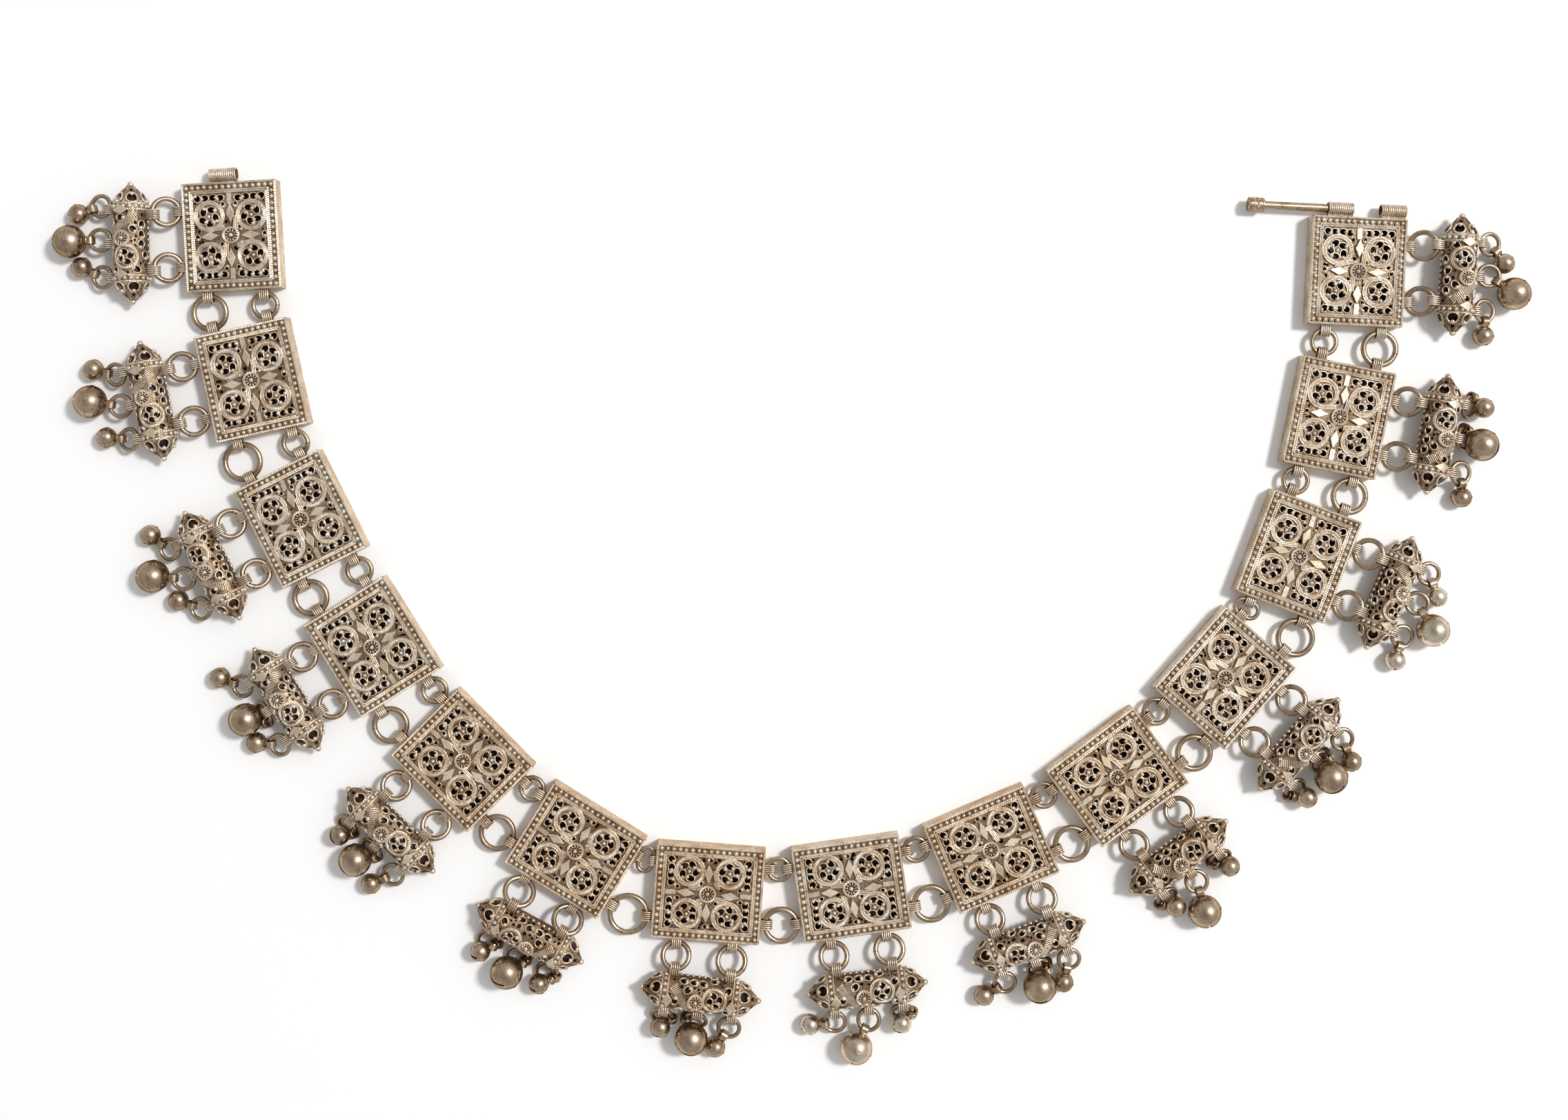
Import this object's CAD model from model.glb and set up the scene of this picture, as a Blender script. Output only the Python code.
import math
import random

import bpy
import numpy as np
from mathutils import Matrix, Vector


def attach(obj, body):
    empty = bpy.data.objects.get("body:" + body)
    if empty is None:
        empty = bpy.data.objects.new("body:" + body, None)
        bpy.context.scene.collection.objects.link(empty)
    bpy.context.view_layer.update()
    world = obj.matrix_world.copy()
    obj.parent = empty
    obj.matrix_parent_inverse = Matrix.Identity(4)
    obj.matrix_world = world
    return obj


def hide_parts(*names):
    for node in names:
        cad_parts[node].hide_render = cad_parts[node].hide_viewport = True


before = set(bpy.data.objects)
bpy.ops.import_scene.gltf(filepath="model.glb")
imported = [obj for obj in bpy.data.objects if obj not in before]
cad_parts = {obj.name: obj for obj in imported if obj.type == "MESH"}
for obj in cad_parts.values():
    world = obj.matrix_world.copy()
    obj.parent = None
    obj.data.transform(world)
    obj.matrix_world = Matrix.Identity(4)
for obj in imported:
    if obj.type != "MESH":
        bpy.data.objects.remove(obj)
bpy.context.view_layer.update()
mm = 0.001
count = 14


# Selecting, joining and copying

def deselectAll():
    if bpy.context.object and bpy.context.object.mode == "EDIT":
        bpy.ops.object.mode_set(mode="OBJECT")
    bpy.ops.object.select_all(action="DESELECT")


def pick(piece):
    deselectAll()
    piece.select_set(True)
    bpy.context.view_layer.objects.active = piece
    return piece


def settle(piece):
    pick(piece)
    bpy.ops.object.transform_apply(location=True, rotation=True, scale=True)
    return piece


def copyPiece(source, place):
    piece = source.copy()
    piece.data = source.data.copy()
    bpy.context.scene.collection.objects.link(piece)
    piece.data.transform(place)
    return piece


def join(pieces, name):
    deselectAll()
    for piece in pieces:
        piece.select_set(True)
    bpy.context.view_layer.objects.active = pieces[0]
    if len(pieces) > 1:
        bpy.ops.object.join()
    pieces[0].name = name
    return pieces[0]


def remove(*pieces):
    for piece in pieces:
        bpy.data.objects.remove(piece)


def applyModifier(piece, kind, **settings):
    pick(piece)
    modifier = piece.modifiers.new(kind.title(), kind)
    for key, value in settings.items():
        setattr(modifier, key, value)
    bpy.ops.object.modifier_apply(modifier=modifier.name)
    return piece


# Picks faces by a rule on their middle, in edit mode's own selection
def selectFaces(piece, rule):
    pick(piece)
    bpy.ops.object.mode_set(mode="EDIT")
    bpy.ops.mesh.select_mode(type="FACE")
    bpy.ops.mesh.select_all(action="DESELECT")
    bpy.ops.object.mode_set(mode="OBJECT")
    for face in piece.data.polygons:
        face.select = rule(face)
    bpy.ops.object.mode_set(mode="EDIT")


def endEdit():
    bpy.ops.object.mode_set(mode="OBJECT")


# Materials

def linear(hexColour):
    channels = [int(hexColour[i:i + 2], 16) / 255 for i in (1, 3, 5)]
    return [c / 12.92 if c <= 0.04045 else ((c + 0.055) / 1.055) ** 2.4 for c in channels] + [1.0]


def addNode(material, kind, settings=None, **links):
    tree = material.node_tree
    node = tree.nodes.new(kind)
    for key, value in (settings or {}).items():
        if key in node.inputs:
            node.inputs[key].default_value = value
        else:
            setattr(node, key, value)
    for key, source in links.items():
        tree.links.new(source, node.inputs[key.replace("_", " ")])
    return node


def newMaterial(name):
    material = bpy.data.materials.new(name)
    material.use_nodes = True
    return material, material.node_tree.nodes["Principled BSDF"]


# Old silver of the country alloy: brown where it is oxidised, pale where wear has rubbed it
tarnish = {
    "cloudMm": 4.0, "specksMm": 0.45, "dentMm": 0.05,
    "tonedBelow": 0.36, "rubbedAbove": 0.62, "stainStart": 0.62, "stainFull": 0.75,
    "smoother": 0.07, "rougher": 0.12,
}


def makeSilver(name, rubbed, toned, stained, roughness, stainShare, bump, metallic=1.0):
    material, shader = newMaterial(name)
    links = material.node_tree.links
    place = addNode(material, "ShaderNodeTexCoord").outputs["Object"]
    cloudScale = 1 / (tarnish["cloudMm"] * mm)
    specksScale = 1 / (tarnish["specksMm"] * mm)
    clouds = addNode(material, "ShaderNodeTexNoise", {"Scale": cloudScale, "Detail": 5.0}, Vector=place)
    specks = addNode(material, "ShaderNodeTexNoise", {"Scale": specksScale, "Detail": 3.0}, Vector=place)
    tones = addNode(material, "ShaderNodeValToRGB", Fac=clouds.outputs["Fac"])
    tones.color_ramp.elements[0].position = tarnish["tonedBelow"]
    tones.color_ramp.elements[0].color = linear(toned)
    tones.color_ramp.elements[1].position = tarnish["rubbedAbove"]
    tones.color_ramp.elements[1].color = linear(rubbed)
    stainRange = {"From Min": tarnish["stainStart"] - stainShare, "From Max": tarnish["stainFull"]}
    stains = addNode(material, "ShaderNodeMapRange", stainRange, Value=specks.outputs["Fac"])
    mixed = addNode(material, "ShaderNodeMix", {"data_type": "RGBA"})
    links.new(stains.outputs["Result"], mixed.inputs[0])
    links.new(tones.outputs["Color"], mixed.inputs[6])
    mixed.inputs[7].default_value = linear(stained)
    links.new(mixed.outputs[2], shader.inputs["Base Color"])
    roughRange = {"From Min": 0.3, "From Max": 0.7}
    roughRange["To Min"] = roughness - tarnish["smoother"]
    roughRange["To Max"] = roughness + tarnish["rougher"]
    rough = addNode(material, "ShaderNodeMapRange", roughRange, Value=specks.outputs["Fac"])
    links.new(rough.outputs["Result"], shader.inputs["Roughness"])
    dents = {"Strength": bump, "Distance": tarnish["dentMm"] * mm}
    dents = addNode(material, "ShaderNodeBump", dents, Height=specks.outputs["Fac"])
    links.new(dents.outputs["Normal"], shader.inputs["Normal"])
    shader.inputs["Metallic"].default_value = metallic
    shader.inputs["Specular Tint"].default_value = linear(toned)
    return material


# Raised wires and grains are rubbed, the sheet they stand on keeps its tarnish, and pieces differ in tone.
# The worked surfaces are full of fine scratches and old grime, which scatter part of the light.
rubbedSilver = makeSilver("rubbedSilver", "#EADDCB", "#CDB8A0", "#80644A", 0.38, 0.1, 0.4, 0.68)
rubbedPaleSilver = makeSilver("rubbedPaleSilver", "#EADECD", "#CFBBA2", "#846B50", 0.38, 0.1, 0.4, 0.68)
rubbedWarmSilver = makeSilver("rubbedWarmSilver", "#EADAC4", "#CDB499", "#7E6044", 0.38, 0.12, 0.4, 0.68)
groundSilver = makeSilver("groundSilver", "#A79179", "#7D6651", "#432E1D", 0.44, 0.2, 0.6, 0.65)
groundPaleSilver = makeSilver("groundPaleSilver", "#A9957E", "#806B56", "#453222", 0.44, 0.2, 0.6, 0.65)
groundWarmSilver = makeSilver("groundWarmSilver", "#A78D72", "#7D634B", "#442D1A", 0.44, 0.21, 0.6, 0.65)
flatSilver = makeSilver("flatSilver", "#E2D5C2", "#C9B69C", "#8F775C", 0.46, 0.08, 0.5, 0.7)
wireSilver = makeSilver("wireSilver", "#C0AC94", "#9C866E", "#5F4A36", 0.32, 0.08, 0.3)
bellSilver = makeSilver("bellSilver", "#C6B29B", "#A18B74", "#655040", 0.24, 0.03, 0.16)
brightBellSilver = makeSilver("brightBellSilver", "#E6D9C8", "#C9B6A0", "#7A6450", 0.22, 0.03, 0.16)

# The hollow behind the piercing is dark with old soot and sulphide
soot = {"colour": "#4A2E18", "deep": "#1C0F07", "cloudMm": 2.0}
sootySilver, sootyShader = newMaterial("sootySilver")
sootPlace = addNode(sootySilver, "ShaderNodeTexCoord").outputs["Object"]
sootNoise = {"Scale": 1 / (soot["cloudMm"] * mm), "Detail": 3.0}
sootClouds = addNode(sootySilver, "ShaderNodeTexNoise", sootNoise, Vector=sootPlace)
sootTones = addNode(sootySilver, "ShaderNodeValToRGB", Fac=sootClouds.outputs["Fac"])
sootTones.color_ramp.elements[0].position = 0.35
sootTones.color_ramp.elements[0].color = linear(soot["deep"])
sootTones.color_ramp.elements[1].position = 0.7
sootTones.color_ramp.elements[1].color = linear(soot["colour"])
sootySilver.node_tree.links.new(sootTones.outputs["Color"], sootyShader.inputs["Base Color"])
sootyShader.inputs["Metallic"].default_value = 0.3
sootyShader.inputs["Roughness"].default_value = 0.6


def dress(piece, *materials):
    piece.data.materials.clear()
    for material in materials:
        piece.data.materials.append(material)
    return piece


# Every part of a plaque or case carries the same four materials, so that joining keeps them apart
raised, dark, ground, flat = range(4)


def paint(piece, slot):
    dress(piece, rubbedSilver, sootySilver, groundSilver, flatSilver)
    for face in piece.data.polygons:
        face.material_index = slot
    return piece


toneSilvers = {"pale": (rubbedPaleSilver, groundPaleSilver), "warm": (rubbedWarmSilver, groundWarmSilver)}


def tint(piece, tone):
    if tone in toneSilvers:
        piece.data.materials[raised], piece.data.materials[ground] = toneSilvers[tone]


# Where a plaque or a case lies, read from its own vertices in the frame

def nodePoints(node):
    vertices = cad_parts[node].data.vertices
    points = np.empty(len(vertices) * 3)
    vertices.foreach_get("co", points)
    return points.reshape(-1, 3) / mm


def placeFrom(middle, along, up):
    along = Vector(along).normalized()
    up = Vector(up).normalized()
    inward = up.cross(along).normalized()
    turn = Matrix((along, inward, up)).transposed().to_4x4()
    return Matrix.Translation(Vector(middle)) @ turn


def longAxis(points):
    axes = np.linalg.eigh(np.cov((points - points.mean(0)).T))[1]
    return axes[:, -1]


def plaquePlace(number):
    points = nodePoints(f"plaque_{number:02d}")
    back = points[points[:, 2] < 0.05]
    middle = np.append(back[:, :2].mean(0), 0.0)
    along = np.append(longAxis(back[:, :2]), 0.0)
    outward = nodePoints(f"case_{number:02d}").mean(0) - middle
    if np.cross(along, outward)[2] > 0:
        along = -along
    return placeFrom(middle, along, (0, 0, 1))


def casePlace(number, plaque):
    points = nodePoints(f"case_{number:02d}")
    along = longAxis(points)
    if np.dot(along, plaque.to_3x3().col[0]) < 0:
        along = -along
    reach = (points - points.mean(0)) @ along
    tips = [points[reach > reach.max() - 0.3].mean(0), points[reach < reach.min() + 0.3].mean(0)]
    middle = (tips[0] + tips[1]) / 2
    along = (tips[0] - tips[1]) / np.linalg.norm(tips[0] - tips[1])
    spokes = points - middle - np.outer((points - middle) @ along, along)
    far = np.linalg.norm(spokes, axis=1) > 6.0
    side = spokes @ np.array(plaque.to_3x3().col[1])
    inward = spokes[far & (side > 0)].mean(0) - spokes[far & (side < 0)].mean(0)
    return placeFrom(middle, along, np.cross(along, inward))


plaquePlaces = [plaquePlace(number) for number in range(1, count + 1)]
casePlaces = [casePlace(number, plaque) for number, plaque in enumerate(plaquePlaces, 1)]
print("places read from the frame")


# Small parts that all silver work here is built from, made once at the origin, in millimetres

def makeGrain(radius):
    deselectAll()
    bpy.ops.mesh.primitive_uv_sphere_add(segments=10, ring_count=8, radius=radius)
    grain = bpy.context.object
    selectFaces(grain, lambda face: face.center.z < -0.1 * radius)
    bpy.ops.mesh.delete(type="FACE")
    endEdit()
    bpy.ops.object.shade_smooth()
    return paint(grain, raised)


def makeHoop(radius, wire, around=16, across=5):
    deselectAll()
    steps = {"major_segments": around, "minor_segments": across}
    bpy.ops.mesh.primitive_torus_add(major_radius=radius, minor_radius=wire, **steps)
    bpy.ops.object.shade_smooth()
    return paint(bpy.context.object, raised)


# A square wire twisted like a screw, along X. Its ridges are 0.45 to 0.52 mm apart, which keeps its faces few.
def makeRope(length, radius, ridge):
    deselectAll()
    bpy.ops.mesh.primitive_cylinder_add(vertices=4, radius=radius, depth=length, end_fill_type="NOTHING")
    rope = bpy.context.object
    bpy.ops.object.mode_set(mode="EDIT")
    bpy.ops.mesh.select_mode(type="EDGE")
    bpy.ops.mesh.select_all(action="DESELECT")
    bpy.ops.object.mode_set(mode="OBJECT")
    for edge in rope.data.edges:
        a, b = (rope.data.vertices[i].co for i in edge.vertices)
        edge.select = abs(a.z - b.z) > length / 2
    bpy.ops.object.mode_set(mode="EDIT")
    ridges = round(length / ridge)
    bpy.ops.mesh.subdivide(number_cuts=2 * ridges - 1)
    endEdit()
    twist = math.radians(90 * ridges)
    applyModifier(rope, "SIMPLE_DEFORM", deform_method="TWIST", deform_axis="Z", angle=twist)
    rope.rotation_euler = (0, math.radians(90), 0)
    return paint(settle(rope), raised)


# The same rope bent into a ring
def makeRopeRing(radius, wire, ridge):
    rope = makeRope(2 * math.pi * radius, wire, ridge)
    for vertex in rope.data.vertices:
        angle = vertex.co.x / radius
        reach = radius + vertex.co.y
        vertex.co = (reach * math.cos(angle), reach * math.sin(angle), vertex.co.z)
    return rope


def makeRod(length, radius, sides=5):
    deselectAll()
    shape = {"vertices": sides, "radius": radius, "depth": length, "rotation": (0, math.radians(90), 0)}
    bpy.ops.mesh.primitive_cylinder_add(end_fill_type="NOTHING", **shape)
    bpy.ops.object.shade_smooth()
    return paint(settle(bpy.context.object), raised)


# A flat lozenge with a bevelled top edge, its long axis along X
def makeLozenge(length, width, thick):
    deselectAll()
    bpy.ops.mesh.primitive_cylinder_add(vertices=4, radius=1, depth=thick)
    lozenge = bpy.context.object
    lozenge.scale = (length / 2, width / 2, 1)
    settle(lozenge)
    selectFaces(lozenge, lambda face: face.normal.z > 0.9)
    bpy.ops.mesh.inset(thickness=0.12)
    bpy.ops.transform.translate(value=(0, 0, 0.1))
    endEdit()
    return paint(lozenge, flat)


def at(x, y, z=0.0, turn=0.0, sizeX=1.0, sizeY=1.0, sizeZ=1.0):
    scale = Matrix.Diagonal((sizeX, sizeY, sizeZ, 1))
    return Matrix.Translation((x, y, z)) @ Matrix.Rotation(math.radians(turn), 4, "Z") @ scale


# A twisted ring round a dark hollow with spokes and a grain in the middle
def makeRosette(radius):
    deselectAll()
    bpy.ops.mesh.primitive_cylinder_add(vertices=20, radius=radius - 0.3, depth=0.1)
    parts = [paint(bpy.context.object, dark), makeRopeRing(radius - 0.3, 0.34, 0.5)]
    parts[1].data.transform(at(0, 0, 0.18))
    spoke = makeGrain(1.0)
    for k in range(11):
        turn = 360 * k / 11
        x, y = (0.56 * radius * f(math.radians(turn)) for f in (math.cos, math.sin))
        parts.append(copyPiece(spoke, at(x, y, 0.05, turn + 20, 0.48, 0.17, 0.3)))
    parts.append(copyPiece(spoke, at(0, 0, 0.05, 0, 0.58, 0.58, 0.66)))
    remove(spoke)
    return join(parts, "rosette")


grain = makeGrain(1.0)
curlHoop = makeHoop(1.0, 0.17, 16, 5)
rod = makeRod(1.0, 1.0)


# Pierced work is laid out flat: curls are holes with a wire round each and a grain at one end
class Pattern:
    def __init__(self, seed):
        self.dice = random.Random(seed)
        self.wires = []
        self.cutters = []
        self.grains = []
        self.taken = []

    def jitter(self, share):
        return self.dice.uniform(-share, share)

    def curl(self, x, y, longHalf, wideHalf, turn, grainSize=0.47):
        x += self.jitter(0.1)
        y += self.jitter(0.1)
        turn += self.jitter(14)
        way = Vector((math.cos(math.radians(turn)), math.sin(math.radians(turn))))
        self.wires.append(copyPiece(curlHoop, at(x, y, 0.12, turn, longHalf, wideHalf, 1.5)))
        self.hole(x, y, longHalf - 0.02, wideHalf - 0.02, turn, 12)
        end = (longHalf - grainSize * 0.75) * self.dice.choice((1, 1, -1))
        self.grains.append((x + end * way.x, y + end * way.y, grainSize))
        for shift in (-0.4 * longHalf, 0.4 * longHalf):
            self.taken.append((x + shift * way.x, y + shift * way.y, wideHalf + 0.06))

    def hole(self, x, y, longHalf, wideHalf, turn, sides):
        deselectAll()
        bpy.ops.mesh.primitive_cylinder_add(vertices=sides, radius=1, depth=3)
        cutter = bpy.context.object
        cutter.data.transform(at(x, y, 0, turn, longHalf, wideHalf, 1))
        self.cutters.append(cutter)

    # Small holes wherever the sheet would else be plain
    def fill(self, halfX, halfY, tries, allowed):
        for _ in range(tries):
            x = self.jitter(halfX)
            y = self.jitter(halfY)
            r = self.dice.uniform(0.26, 0.55)
            if allowed(x, y, r) and all(math.hypot(x - a, y - b) > r + c for a, b, c in self.taken):
                self.hole(x, y, r * 1.15, r, self.dice.uniform(0, 180), 6)
                self.taken.append((x, y, r + 0.12))

    def wire(self, ax, ay, bx, by, radius, height=0.1):
        length = math.hypot(bx - ax, by - ay)
        turn = math.degrees(math.atan2(by - ay, bx - ax))
        place = at((ax + bx) / 2, (ay + by) / 2, height, turn, length, radius, radius)
        self.wires.append(copyPiece(rod, place))

    # A flat strip of wires side by side, hatched across
    def strip(self, ax, ay, bx, by, width, height=0.2):
        length = math.hypot(bx - ax, by - ay)
        sideX, sideY = (ay - by) / length, (bx - ax) / length
        for share in (-0.5, 0.5):
            offX, offY = sideX * width * share, sideY * width * share
            self.wire(ax + offX, ay + offY, bx + offX, by + offY, 0.2, height)
        ribs = round(length / 0.42)
        for k in range(ribs):
            x = ax + (bx - ax) * (k + 0.5) / ribs
            y = ay + (by - ay) * (k + 0.5) / ribs
            offX, offY = sideX * width / 2, sideY * width / 2
            self.wire(x - offX, y - offY, x + offX, y + offY, 0.15, height - 0.05)
        for k in range(round(length / width) + 1):
            share = k * width / length
            self.taken.append((ax + (bx - ax) * share, ay + (by - ay) * share, width / 2 + 0.1))

    def sheet(self, length, width, thick, stepsX, stepsY):
        deselectAll()
        bpy.ops.mesh.primitive_grid_add(x_subdivisions=stepsX, y_subdivisions=stepsY, size=1)
        plate = bpy.context.object
        plate.scale = (length, width, 1)
        settle(plate)
        applyModifier(plate, "SOLIDIFY", thickness=thick, offset=-1)
        cutters = join(self.cutters, "cutters")
        applyModifier(plate, "BOOLEAN", object=cutters, operation="DIFFERENCE", solver="EXACT", use_self=True)
        remove(cutters)
        return paint(plate, ground)


# Plaques: sizes in millimetres, x along the chain, y towards the neck
plaqueSizes = {
    "length": 26.0, "width": 22.6, "height": 5.2, "band": 2.6,
    "rowInset": 1.15, "rowPitch": 1.47, "rowGrain": 0.57,
    "fieldTop": 4.3, "hollow": 2.6,
    "ringX": 4.85, "ringY": 5.1, "ringRadius": 3.25,
}
ropeRows = ((0.27, 0.32, 0.26), (1.95, 0.27, 0.2), (2.42, 0.27, 0.2))  # inset, radius and height of each


def plaqueLozenges(pattern):
    lozenges = []
    for x, y, turn in ((5.3, 0, 0), (-5.3, 0, 0), (0, 4.8, 90), (0, -4.8, 90)):
        lozenge = makeLozenge(4.7, 2.1, 0.3)
        tilt = Matrix.Rotation(math.radians(pattern.jitter(5)), 4, "X")
        x += pattern.jitter(0.25)
        y += pattern.jitter(0.25)
        lozenge.data.transform(at(x, y, 0.42, turn + pattern.jitter(6)) @ tilt)
        lozenges.append(lozenge)
    for x in (9.0, -9.0):
        deselectAll()
        bpy.ops.mesh.primitive_cube_add(size=1)
        strap = paint(bpy.context.object, raised)
        strap.data.transform(at(x, 0, 0.2, pattern.jitter(3), 2.6, 1.1, 0.3))
        lozenges.append(strap)
    return lozenges


def plaqueField(seed):
    pattern = Pattern(seed)
    size = plaqueSizes
    radius = size["ringRadius"]
    band = [makeHoop(radius + 0.36, 0.2, 32, 5), makeRopeRing(radius, 0.27, 0.45)]
    band.append(makeHoop(radius - 0.36, 0.17, 28, 5))
    centres = [(sideX * size["ringX"], sideY * size["ringY"]) for sideX in (-1, 1) for sideY in (-1, 1)]
    for cx, cy in centres:
        shift = (cx + pattern.jitter(0.15), cy + pattern.jitter(0.15))
        pattern.wires += [copyPiece(ring, at(*shift, 0.24)) for ring in band]
        start = pattern.dice.uniform(0, 90)
        way = pattern.dice.choice((-1, 1))
        for k in range(5):
            angle = start + 72 * k + pattern.jitter(6)
            x = cx + 1.72 * math.cos(math.radians(angle))
            y = cy + 1.72 * math.sin(math.radians(angle))
            pattern.curl(x, y, 1.14, 0.84, angle + way * 62)
        pattern.grains.append((cx, cy, 0.5))
        sideX, sideY = math.copysign(1, cx), math.copysign(1, cy)
        for x, y, turn in ((9.2, 7.6, 50), (9.25, 5.8, 90), (9.25, 3.95, 90), (9.1, 2.25, 110)):
            pattern.curl(sideX * x, sideY * y, 1.02, 0.84, sideX * sideY * turn, 0.46)
        for x, y, turn in ((7.6, 1.5, 20), (2.0, 2.2, -35)):
            pattern.curl(sideX * x, sideY * y, 0.74, 0.5, sideX * sideY * turn, 0.4)
        for x, y, r in ((1.3, 7.6, 0.48), (8.1, 8.15, 0.42)):
            pattern.hole(sideX * x, sideY * y, r, r, pattern.dice.uniform(0, 120), 3)
    for sideY in (-1, 1):
        pattern.curl(0, sideY * 8.0, 0.74, 0.56, 0, 0.42)
    # straps of wires that run from the rosette into the rings
    for sign in (-1, 1):
        for step in (0.0, 0.4, 0.8):
            pattern.wire(sign * (0.9 + step), sign * 5.6, sign * (1.9 + step), sign * 1.3, 0.2, 0.3)
            pattern.wire(-sign * 4.9, sign * (1.0 + step), -sign * 1.5, sign * (0.75 + step), 0.2, 0.3)

    def allowed(x, y, r):
        for cx, cy in centres:
            if abs(math.hypot(x - cx, y - cy) - radius) <= r + 0.42:
                return False
        clearAcross = abs(x) / 2.6 + abs(abs(y) - 4.8) / 3.2 > 1
        clearAlong = abs(y) / 1.7 + abs(abs(x) - 6.5) / 6 > 1
        return clearAcross and clearAlong and math.hypot(x, y) > 2.4 + r

    pattern.fill(9.9, 8.3, 900, allowed)
    remove(*band)
    fieldLength = size["length"] - 2 * size["band"] + 0.2
    fieldWidth = size["width"] - 2 * size["band"] + 0.2
    plate = pattern.sheet(fieldLength, fieldWidth, 0.5, 2, 2)
    grains = [copyPiece(grain, at(x, y, 0.15, 0, r, r, r)) for x, y, r in pattern.grains]
    rosette = makeRosette(2.1)
    rosette.data.transform(at(pattern.jitter(0.2), pattern.jitter(0.2), 0.2, pattern.jitter(30)))
    field = join([plate, rosette] + plaqueLozenges(pattern) + grains + pattern.wires, "field")
    field.data.transform(at(0, 0, size["fieldTop"]))
    return field


def plaqueBox():
    size = plaqueSizes
    deselectAll()
    bpy.ops.mesh.primitive_cube_add(size=1, location=(0, 0, size["fieldTop"] / 2))
    box = bpy.context.object
    box.scale = (size["length"], size["width"], size["fieldTop"])
    settle(box)
    applyModifier(box, "BEVEL", width=0.15, segments=2)
    selectFaces(box, lambda face: face.normal.z > 0.99)
    bpy.ops.mesh.inset(thickness=size["band"])
    bpy.ops.mesh.extrude_region_move(TRANSFORM_OT_translate={"value": (0, 0, -size["hollow"])})
    endEdit()
    paint(box, ground)
    for face in box.data.polygons:
        inside = abs(face.center.x) < size["length"] / 2 - size["band"] + 0.05
        inside = inside and abs(face.center.y) < size["width"] / 2 - size["band"] + 0.05
        if inside and face.center.z > 0.5:
            face.material_index = dark
        elif face.normal.z < 0.9:
            face.material_index = raised
    return box


# Twisted wires with a row of grains between them, all round the top
def plaqueBorder():
    size = plaqueSizes
    top = size["fieldTop"]
    parts = []
    for insetBy, radius, height in ropeRows:
        halfX = size["length"] / 2 - insetBy
        halfY = size["width"] / 2 - insetBy
        for turn, half, off in ((0, halfX, halfY), (90, halfY, halfX)):
            rope = makeRope(2 * half, radius, 0.52)
            for side in (-1, 1):
                x, y = (0, side * off) if turn == 0 else (side * off, 0)
                parts.append(copyPiece(rope, at(x, y, top + height, turn)))
            remove(rope)
    halfX = size["length"] / 2 - size["rowInset"]
    halfY = size["width"] / 2 - size["rowInset"]
    stepsX = round(2 * halfX / size["rowPitch"])
    stepsY = round(2 * halfY / size["rowPitch"])
    spots = []
    for k in range(stepsX + 1):
        x = -halfX + 2 * halfX * k / stepsX
        spots += [(x, halfY), (x, -halfY)]
    for k in range(1, stepsY):
        y = -halfY + 2 * halfY * k / stepsY
        spots += [(halfX, y), (-halfX, y)]
    dice = random.Random(5)
    for x, y in spots:
        r = size["rowGrain"] * dice.uniform(0.88, 1.05)
        place = at(x + dice.uniform(-0.07, 0.07), y + dice.uniform(-0.07, 0.07), top + 0.2, 0, r, r, r)
        parts.append(copyPiece(grain, place))
    return join(parts, "border")


# Bails: round wires side by side over a dark strap, bent to a long loop that starts inside the wall
bailSizes = {"wide": 2.4, "high": 2.65, "wires": 5, "root": 0.5}


def makeBail(reach):
    size = bailSizes
    pitch = size["wide"] / size["wires"]
    wire = pitch * 0.42
    half = size["high"] / 2 - wire
    deselectAll()
    shape = {"vertices": 16, "radius": half, "depth": size["wide"] - wire}
    bpy.ops.mesh.primitive_cylinder_add(end_fill_type="NOTHING", **shape)
    strap = paint(bpy.context.object, dark)
    strap.data.transform(Matrix.Rotation(math.radians(90), 4, "X"))
    loops = [strap]
    for k in range(size["wires"]):
        loop = makeHoop(half, wire, 16, 5)
        middle = Matrix.Translation((0, (k - (size["wires"] - 1) / 2) * pitch, 0))
        loop.data.transform(middle @ Matrix.Rotation(math.radians(90), 4, "X"))
        loops.append(loop)
    bail = join(loops, "bail")
    for vertex in bail.data.vertices:
        vertex.co.x += reach - wire - half if vertex.co.x > 0 else half + wire - size["root"]
    return bail


# A clasp tube is wire wound closely round a plain tube
def makeTube(length, radius, bore):
    deselectAll()
    shape = {"vertices": 24, "radius": bore, "depth": length, "rotation": (math.radians(90), 0, 0)}
    bpy.ops.mesh.primitive_cylinder_add(end_fill_type="NOTHING", **shape)
    tube = settle(bpy.context.object)
    applyModifier(tube, "SOLIDIFY", thickness=0.15, offset=1)
    pick(tube)
    bpy.ops.object.shade_smooth_by_angle(angle=math.radians(40))
    parts = [paint(tube, ground)]
    windings = round(length / 0.47)
    for k in range(windings):
        hoop = makeHoop(radius - 0.2, 0.22, 24, 6)
        place = Matrix.Translation((0, (k + 0.5) * length / windings - length / 2, 0))
        hoop.data.transform(place @ Matrix.Rotation(math.radians(90), 4, "X"))
        parts.append(hoop)
    return join(parts, "tube")


claspSizes = {
    "offWall": 2.0, "radius": 1.55, "bore": 1.15,
    "catchLong": 6.5, "catchOut": 1.6, "pinLong": 6.1, "pinOuts": (-4.35, 8.35),
}
bailOff = 6.7
wallHeight = plaqueSizes["height"] / 2


# How far the chain-side bails reach at each end of a plaque, from the frame's own vertices
def bailReach(number, side, out):
    place = plaquePlaces[number - 1]
    points = nodePoints(f"plaque_{number:02d}") - np.array(place.translation)
    local = np.array(place.inverted().to_3x3()) @ points.T
    near = (abs(-local[1] - out) < 1.3) & (local[0] * side > plaqueSizes["length"] / 2)
    return (local[0][near] * side).max() - plaqueSizes["length"] / 2


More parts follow.
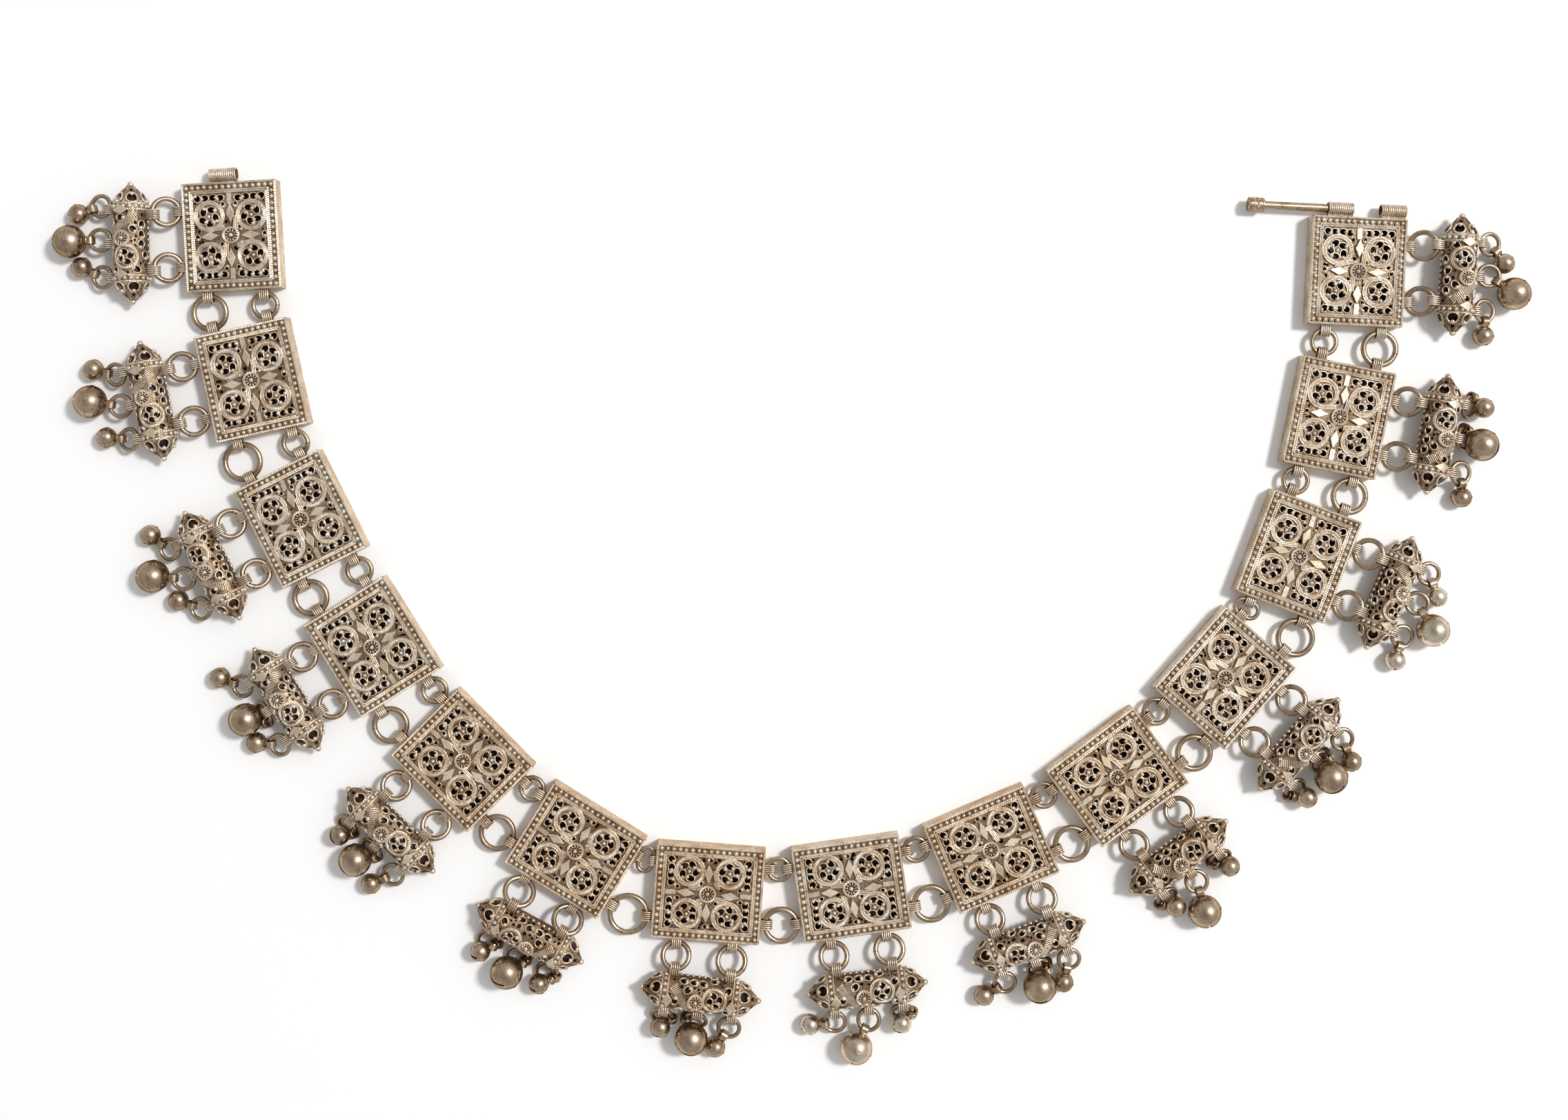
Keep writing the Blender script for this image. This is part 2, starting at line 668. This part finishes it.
def claspFittings(side):
    size = claspSizes
    outs = (size["catchOut"],) if side < 0 else size["pinOuts"]
    length = size["catchLong"] if side < 0 else size["pinLong"]
    parts = []
    for out in outs:
        x = side * (plaqueSizes["length"] / 2 + size["offWall"])
        tube = makeTube(length, size["radius"], size["bore"])
        tube.data.transform(Matrix.Translation((x, -out, wallHeight)))
        deselectAll()
        bpy.ops.mesh.primitive_cube_add(size=1, location=(x - side * size["offWall"] * 0.8, -out, wallHeight))
        solder = bpy.context.object
        solder.scale = (1.2, length * 0.98, 1.2)
        parts += [tube, paint(settle(solder), ground)]
    return parts


def plaqueFittings(number):
    parts = []
    for side in (-1, 1):
        if (number == 1 and side < 0) or (number == count and side > 0):
            parts += claspFittings(side)
            continue
        turn = 0 if side > 0 else 180
        for out in (-bailOff, bailOff):
            bail = makeBail(bailReach(number, side, out))
            bail.data.transform(at(side * plaqueSizes["length"] / 2, -out, wallHeight, turn))
            parts.append(bail)
    for along in (-bailOff, bailOff):
        bail = makeBail(3.0)
        bail.data.transform(at(along, -plaqueSizes["width"] / 2, wallHeight, -90))
        parts.append(bail)
    return parts


box = plaqueBox()
border = plaqueBorder()
fields = [plaqueField(seed) for seed in (3, 8, 14, 21)]
print("plaque patterns made")

plaqueTones = dict.fromkeys((1, 3, 4, 14), "pale") | dict.fromkeys((5, 6, 7, 9, 10), "warm")
for number, place in enumerate(plaquePlaces, 1):
    field = copyPiece(fields[number % 4], Matrix.Rotation(math.pi * (number // 4 % 2), 4, "Z"))
    parts = [copyPiece(box, Matrix()), field, copyPiece(border, Matrix())] + plaqueFittings(number)
    plaque = join(parts, f"pierced_plaque_{number:02d}")
    plaque.data.transform(Matrix.Scale(mm, 4) @ place)
    tint(plaque, plaqueTones.get(number))
    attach(plaque, "necklace")
    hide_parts(f"plaque_{number:02d}")
remove(box, border, *fields)
print("plaques placed")


# Amulet cases: laid out flat like the plaques, then wrapped round the tube and its caps
caseSizes = {"tubeHalf": 8.6, "capEnd": 14.0, "radius": 4.0, "tip": 0.75, "panels": 6}
capProfile = ((8.6, 4.0), (9.6, 3.9), (10.6, 3.5), (11.8, 2.65), (13.0, 1.45), (14.0, 0.5))


def caseRadius(x):
    x = abs(x)
    if x <= caseSizes["tubeHalf"]:
        return caseSizes["radius"]
    for (xa, ra), (xb, rb) in zip(capProfile, capProfile[1:]):
        if x <= xb:
            return ra + (rb - ra) * (x - xa) / (xb - xa)
    return capProfile[-1][1]


def wrapPoint(x, y, z):
    angle = y / caseSizes["radius"]
    radius = caseRadius(x) + z
    return Vector((x, radius * math.sin(angle), radius * math.cos(angle)))


def wrap(piece):
    for vertex in piece.data.vertices:
        vertex.co = wrapPoint(*vertex.co)
    return piece


def wrapGrain(x, y, r):
    turn = Matrix.Rotation(-y / caseSizes["radius"], 4, "X")
    return copyPiece(grain, Matrix.Translation(wrapPoint(x, y, 0.1)) @ turn @ Matrix.Scale(r, 4))


# The scroll ring, the hatched strip and the curls of the tube
def tubePattern(pattern, flip):
    ringX, ringY, radius = flip * 3.5, pattern.jitter(0.8), 2.55
    for ring in (makeHoop(radius + 0.34, 0.19, 30, 5), makeRopeRing(radius, 0.26, 0.45)):
        ring.data.transform(at(ringX, ringY, 0.2))
        pattern.wires.append(ring)
    pattern.taken.append((ringX, ringY, radius + 0.6))
    start = pattern.dice.uniform(0, 90)
    for k in range(4):
        angle = start + 90 * k + pattern.jitter(8)
        x = ringX + 1.25 * math.cos(math.radians(angle))
        y = ringY + 1.25 * math.sin(math.radians(angle))
        pattern.curl(x, y, 1.05, 0.78, angle + 60, 0.46)
    pattern.strip(flip * -6.6, 2.6, flip * -2.2, -3.2, 1.7)
    pattern.taken.append((flip * -0.9, -0.6, 2.1))
    curls = (
        (-2.9, 2.0, 30), (-4.2, 4.1, 0), (-5.9, -0.9, 70), (-4.6, -3.9, 20), (-1.8, 4.0, 10), (0.6, 3.9, -20),
        (0.4, -4.0, 10), (-1.9, -5.6, 0), (6.6, 2.6, 60), (6.6, -2.8, -60), (2.6, -4.8, 10), (3.2, 4.9, 0),
    )
    for x, y, turn in curls:
        pattern.curl(flip * x, y, 1.05, 0.8, flip * turn, 0.46)


def capPattern(pattern, side):
    step = 2 * math.pi * caseSizes["radius"] / caseSizes["panels"]
    for k in range(caseSizes["panels"]):
        y = (k - caseSizes["panels"] / 2 + 0.5) * step
        pattern.curl(side * 10.7, y, 1.25, 1.5, 0, 0.5)
        pattern.hole(side * 12.5, y, 0.42, 0.9, 0, 6)
        for shift in (-0.22, 0.22):
            pattern.wire(side * 9.4, y + step / 2 + shift, side * 13.7, y + step / 2 + shift, 0.17, 0.12)


def makeCase(seed):
    pattern = Pattern(seed)
    flip = pattern.dice.choice((-1, 1))
    tubePattern(pattern, flip)
    for side in (-1, 1):
        capPattern(pattern, side)
    pattern.fill(7.3, 6.2, 700, lambda x, y, r: True)
    sheet = pattern.sheet(27.9, 8 * math.pi * 0.999, 0.5, 26, 24)
    parts = [wrap(sheet)] + [wrap(piece) for piece in pattern.wires]
    spots = list(pattern.grains)
    for side in (-1, 1):
        spots += [(side * 8.55, -8.4 + 16.8 * k / 12, 0.52) for k in range(13)]
        for x in (7.85, 9.25):
            hoop = makeRopeRing(caseRadius(x) - 0.1, 0.27, 0.5)
            upright = Matrix.Rotation(math.radians(90), 4, "Y")
            hoop.data.transform(Matrix.Translation((side * x, 0, 0)) @ upright)
            parts.append(hoop)
    spots += [(-6.4 + 12.8 * k / 9, 6.3, 0.42) for k in range(10)]
    parts += [wrapGrain(*spot) for spot in spots]
    rosette = makeRosette(1.95)
    rosette.data.transform(at(flip * -0.9, -0.6, 0.3))
    parts.append(wrap(rosette))
    for side in (-1, 1):
        lozenge = makeLozenge(3.6, 2.3, 0.3)
        applyModifier(lozenge, "SUBSURF", subdivision_type="SIMPLE", levels=2, render_levels=2)
        lozenge.data.transform(at(side * 7.6, -0.4 + pattern.jitter(0.5), 0.55, 90 + pattern.jitter(8)))
        parts.append(wrap(lozenge))
        deselectAll()
        ball = {"radius": caseSizes["tip"], "location": (side * caseSizes["capEnd"], 0, 0)}
        bpy.ops.mesh.primitive_uv_sphere_add(segments=14, ring_count=8, **ball)
        tip = paint(settle(bpy.context.object), raised)
        pick(tip)
        bpy.ops.object.shade_smooth()
        parts.append(tip)
    deselectAll()
    core = {"radius": 2.9, "depth": 20, "rotation": (0, math.radians(90), 0)}
    bpy.ops.mesh.primitive_cylinder_add(vertices=16, **core)
    parts.append(paint(settle(bpy.context.object), dark))
    for side in (-1, 1):
        deselectAll()
        place = {"location": (side * 11.6, 0, 0), "rotation": (0, side * math.radians(90), 0)}
        bpy.ops.mesh.primitive_cone_add(vertices=16, radius1=2.9, radius2=0.6, depth=3.4, **place)
        parts.append(paint(settle(bpy.context.object), dark))
    for face in sheet.data.polygons:
        if math.hypot(face.center.y, face.center.z) < caseRadius(face.center.x) - 0.3:
            face.material_index = dark
    bails = [(along, 3.0, 90) for along in (-bailOff, bailOff)]
    bails += [(along, 2.7, -90) for along in (-8.2, 0, 8.2)]
    for along, reach, turn in bails:
        bail = makeBail(reach)
        bail.data.transform(at(along, math.copysign(4.05, turn), 0, turn))
        parts.append(bail)
    return join(parts, "case")


cases = [makeCase(seed) for seed in (2, 9, 17)]
caseTones = dict.fromkeys((1, 2, 4, 14), "pale") | dict.fromkeys((6, 7, 10), "warm")
for number, place in enumerate(casePlaces, 1):
    case = copyPiece(cases[number % 3], Matrix.Scale(mm, 4) @ place)
    case.name = f"amulet_case_{number:02d}"
    tint(case, caseTones.get(number))
    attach(case, "necklace")
    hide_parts(f"case_{number:02d}")
remove(*cases)
print("cases placed")


# Rings, bells and the pin keep the frame's own shapes
for name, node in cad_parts.items():
    if name.startswith("bells"):
        dress(node, brightBellSilver if name in ("bells_08", "bells_12") else bellSilver)
    elif "rings" in name or name == "clasp_pin":
        dress(node, wireSilver)


# The loose solids of a node, each as its own points
def looseSolids(node):
    points = nodePoints(node)
    places, which = np.unique(points.round(3), axis=0, return_inverse=True)
    edges = np.empty(len(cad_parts[node].data.edges) * 2, dtype=int)
    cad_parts[node].data.edges.foreach_get("vertices", edges)
    ends = which.reshape(-1)[edges].reshape(-1, 2)
    label = np.arange(len(places))
    before = None
    while before is None or (label != before).any():
        before = label.copy()
        least = label[ends].min(axis=1)
        np.minimum.at(label, ends[:, 0], least)
        np.minimum.at(label, ends[:, 1], least)
        label = label[label]
    solids = [places[label == k] for k in np.unique(label)]
    return [points for points in solids if np.ptp(points, axis=0).max() > 3]


# Middle, axis, radius and wire of a ring, and the way round it
def ringOf(points):
    middle = points.mean(0)
    spread, axes = np.linalg.eigh(np.cov((points - middle).T))
    axis = axes[:, 0]
    reach = np.linalg.norm(points - middle - np.outer((points - middle) @ axis, axis), axis=1)
    wire = (reach.max() - reach.min()) / 2
    return middle, axis, (reach.max() + reach.min()) / 2, wire, spread[2] / spread[1]


def hoopAcross(middle, way, radius, wire, slot):
    hoop = paint(makeHoop(radius, wire, 16, 4), slot)
    turn = Vector(way).to_track_quat("Z", "Y").to_matrix().to_4x4()
    hoop.data.transform(Matrix.Translation(Vector(middle)) @ turn)
    return hoop


cutSizes = {"mostUneven": 1.1, "leastRadius": 2.7, "spread": 0.9, "lipOff": 0.16}


# The butt cut of each round ring shows as a dark line between two slightly swollen ends
def cutMarks(node, choose, dice):
    marks = []
    for points in looseSolids(node):
        middle, axis, radius, wire, uneven = ringOf(points)
        if uneven > cutSizes["mostUneven"] or radius < cutSizes["leastRadius"]:
            continue
        spread = cutSizes["spread"]
        angle = math.atan2(*choose(middle)[1::-1]) + dice.uniform(-spread, spread)
        spoke = np.array((math.cos(angle), math.sin(angle), 0.0))
        spoke -= axis * (spoke @ axis)
        spoke /= np.linalg.norm(spoke)
        way = np.cross(axis, spoke)
        place = middle + spoke * radius
        marks.append(hoopAcross(place, way, wire - 0.02, 0.07, dark))
        for side in (-1, 1):
            lip = place + side * cutSizes["lipOff"] * way
            marks.append(hoopAcross(lip, way, wire - 0.03, 0.08, raised))
    return marks


def placeExtra(piece, name, body):
    piece.name = name
    piece.data.transform(Matrix.Scale(mm, 4))
    piece.data.materials[raised] = wireSilver
    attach(piece, body)


dice = random.Random(11)
marks = cutMarks("outer_rings", lambda middle: middle, dice)
marks += cutMarks("inner_rings", lambda middle: -middle, dice)


# Hanger and bell rings have their cut to one side or the other of the pendant
def toOneSide(middle):
    return dice.choice((-1, 1)) * np.cross(middle, (0, 0, 1))


for number in range(1, count + 1):
    marks += cutMarks(f"drop_rings_{number:02d}", toOneSide, dice)
placeExtra(join(marks, "ring_cuts"), "ring_cuts", "necklace")
print("ring cuts placed")


# The middle and the radius of a bell, from the points that lie on its ball
def ballOf(points):
    middle = points.mean(0)
    radius = 3.9 if np.ptp(points[:, 2]) > 7 else 2.4
    for near in (1.0, 0.5, 0.25, 0.12, 0.12, 0.12):
        away = np.linalg.norm(points - middle, axis=1)
        shell = points[abs(away - radius) < near]
        sums = np.column_stack((2 * shell, np.ones(len(shell))))
        middle = np.linalg.lstsq(sums, (shell**2).sum(axis=1), rcond=None)[0][:3]
    return middle, radius


# Each bell's ear is a strap of ribs round its ring
earSizes = {"reach": 1.05, "radius": 1.14, "rib": 0.2, "ribs": 5, "wide": 1.6}
ears = []
for number in range(1, count + 1):
    rings = [ringOf(points) for points in looseSolids(f"drop_rings_{number:02d}")]
    for points in looseSolids(f"bells_{number:02d}"):
        middle, radius = ballOf(points)
        away = np.linalg.norm(points - middle, axis=1)
        axis = points[away > radius + 0.6].mean(0) - middle
        ear = middle + axis / np.linalg.norm(axis) * (radius + earSizes["reach"])
        misses = [abs(np.linalg.norm(ear - r[0]) - r[2]) + abs((ear - r[0]) @ r[1]) for r in rings]
        ring = rings[misses.index(min(misses))]
        way = np.cross(ring[1], ear - ring[0])
        way /= np.linalg.norm(way)
        for k in range(earSizes["ribs"]):
            shift = (k / (earSizes["ribs"] - 1) - 0.5) * (earSizes["wide"] - earSizes["rib"])
            ears.append(hoopAcross(ear + shift * way, way, earSizes["radius"], earSizes["rib"], raised))
placeExtra(join(ears, "bell_ears"), "bell_ears", "necklace")
print("bell ears placed")

# The pin's thick head: a beaded edge, a twisted ring and a collar of grains
pinPoints = nodePoints("clasp_pin")
pinWay = longAxis(pinPoints)
pinAlong = (pinPoints - pinPoints.mean(0)) @ pinWay
pinOff = np.linalg.norm(pinPoints - pinPoints.mean(0) - np.outer(pinAlong, pinWay), axis=1)
if pinAlong[pinOff > 1.3].mean() < 0:
    pinWay, pinAlong = -pinWay, -pinAlong
pinTop = pinPoints[pinAlong > pinAlong.max() - 0.1].mean(0)
headSizes = {
    "hoop": 1.5, "hoops": ((0.33, 0.28), (0.8, 0.22), (3.0, 0.22), (3.45, 0.28)),
    "grainRows": ((1.4, 0), (2.3, 20)), "grains": 9, "grainOut": 1.4, "grain": 0.42,
}
headParts = []
for down, wire in headSizes["hoops"]:
    headParts.append(hoopAcross(pinTop - down * pinWay, pinWay, headSizes["hoop"], wire, raised))
headTurn = Vector(pinWay).to_track_quat("Z", "Y").to_matrix().to_4x4()
outward = Matrix.Rotation(math.radians(90), 4, "Y") @ Matrix.Scale(headSizes["grain"], 4)
for row, shift in headSizes["grainRows"]:
    for k in range(headSizes["grains"]):
        spin = Matrix.Rotation(math.radians(360 / headSizes["grains"] * k + shift), 4, "Z")
        spot = Matrix.Translation((headSizes["grainOut"], 0, -row)) @ outward
        headParts.append(copyPiece(grain, Matrix.Translation(Vector(pinTop)) @ headTurn @ spin @ spot))
placeExtra(join(headParts, "pin_head_beads"), "pin_head_beads", "clasp_pin")
remove(grain, curlHoop, rod)
print("pin head placed")

# A pale board, seen from straight above, with a window at the upper right and a dim ceiling
studio = {
    "centre": (-1.87, 12.97), "pixelsPerMm": 6.0, "photoWide": 2273, "nadirUp": 212, "height": 433.3,
    "board": "#F6F5F4", "lightWatts": 62.0, "lightSize": 0.42, "lightAway": 3.0,
    "ceiling": 0.28, "sides": 0.52, "ceilingStarts": 0.72, "glow": 0.9, "glowFall": 9.0,
}
deselectAll()
bpy.ops.mesh.primitive_plane_add(size=4, location=(0, 0, -0.00002))
board = bpy.context.object
board.name = "board"
paper, paperShader = newMaterial("matteWhiteBoard")
paperShader.inputs["Base Color"].default_value = linear(studio["board"])
paperShader.inputs["Roughness"].default_value = 0.9
dress(board, paper)

cameraData = bpy.data.cameras.new("camera")
camera = bpy.data.objects.new("camera", cameraData)
bpy.context.scene.collection.objects.link(camera)
nadir = studio["centre"][1] + studio["nadirUp"] / studio["pixelsPerMm"]
camera.location = (studio["centre"][0] * mm, nadir * mm, studio["height"] * mm)
cameraData.sensor_width = 36
cameraData.lens = 36 * studio["height"] * studio["pixelsPerMm"] / studio["photoWide"]
cameraData.shift_y = -studio["nadirUp"] / studio["photoWide"]
cameraData.clip_start = 0.01
bpy.context.scene.camera = camera

lightWay = Vector((0.525, 0.263, 0.809))
lightData = bpy.data.lights.new("window", "AREA")
lightData.shape = "SQUARE"
lightData.size = studio["lightSize"]
lightData.energy = studio["lightWatts"]
light = bpy.data.objects.new("window", lightData)
light.location = lightWay * studio["lightAway"]
light.rotation_euler = lightWay.to_track_quat("Z", "Y").to_euler()
bpy.context.scene.collection.objects.link(light)

# The room: dim overhead, brighter towards the sides, with a wide glow round the window
world = bpy.data.worlds.new("studio")
world.use_nodes = True
bpy.context.scene.world = world
way = addNode(world, "ShaderNodeTexCoord").outputs["Generated"]
height = addNode(world, "ShaderNodeSeparateXYZ", Vector=way).outputs["Z"]
roomRange = {"From Min": studio["ceilingStarts"], "From Max": 0.98}
room = addNode(world, "ShaderNodeMapRange", roomRange, Value=height)
room.inputs["To Min"].default_value = studio["sides"]
room.inputs["To Max"].default_value = studio["ceiling"]
towards = addNode(world, "ShaderNodeVectorMath", {"operation": "DOT_PRODUCT"})
world.node_tree.links.new(way, towards.inputs[0])
towards.inputs[1].default_value = lightWay.normalized()
ahead = addNode(world, "ShaderNodeMath", {"operation": "MAXIMUM"})
world.node_tree.links.new(towards.outputs["Value"], ahead.inputs[0])
ahead.inputs[1].default_value = 0.0
fallOff = addNode(world, "ShaderNodeMath", {"operation": "POWER"})
world.node_tree.links.new(ahead.outputs["Value"], fallOff.inputs[0])
fallOff.inputs[1].default_value = studio["glowFall"]
strength = addNode(world, "ShaderNodeMath", {"operation": "MULTIPLY_ADD"})
world.node_tree.links.new(fallOff.outputs["Value"], strength.inputs[0])
strength.inputs[1].default_value = studio["glow"]
world.node_tree.links.new(room.outputs["Result"], strength.inputs[2])
backdrop = world.node_tree.nodes["Background"]
backdrop.inputs["Color"].default_value = (1, 1, 1, 1)
world.node_tree.links.new(strength.outputs["Value"], backdrop.inputs["Strength"])
bpy.context.scene.view_settings.view_transform = "Standard"
print("studio ready")
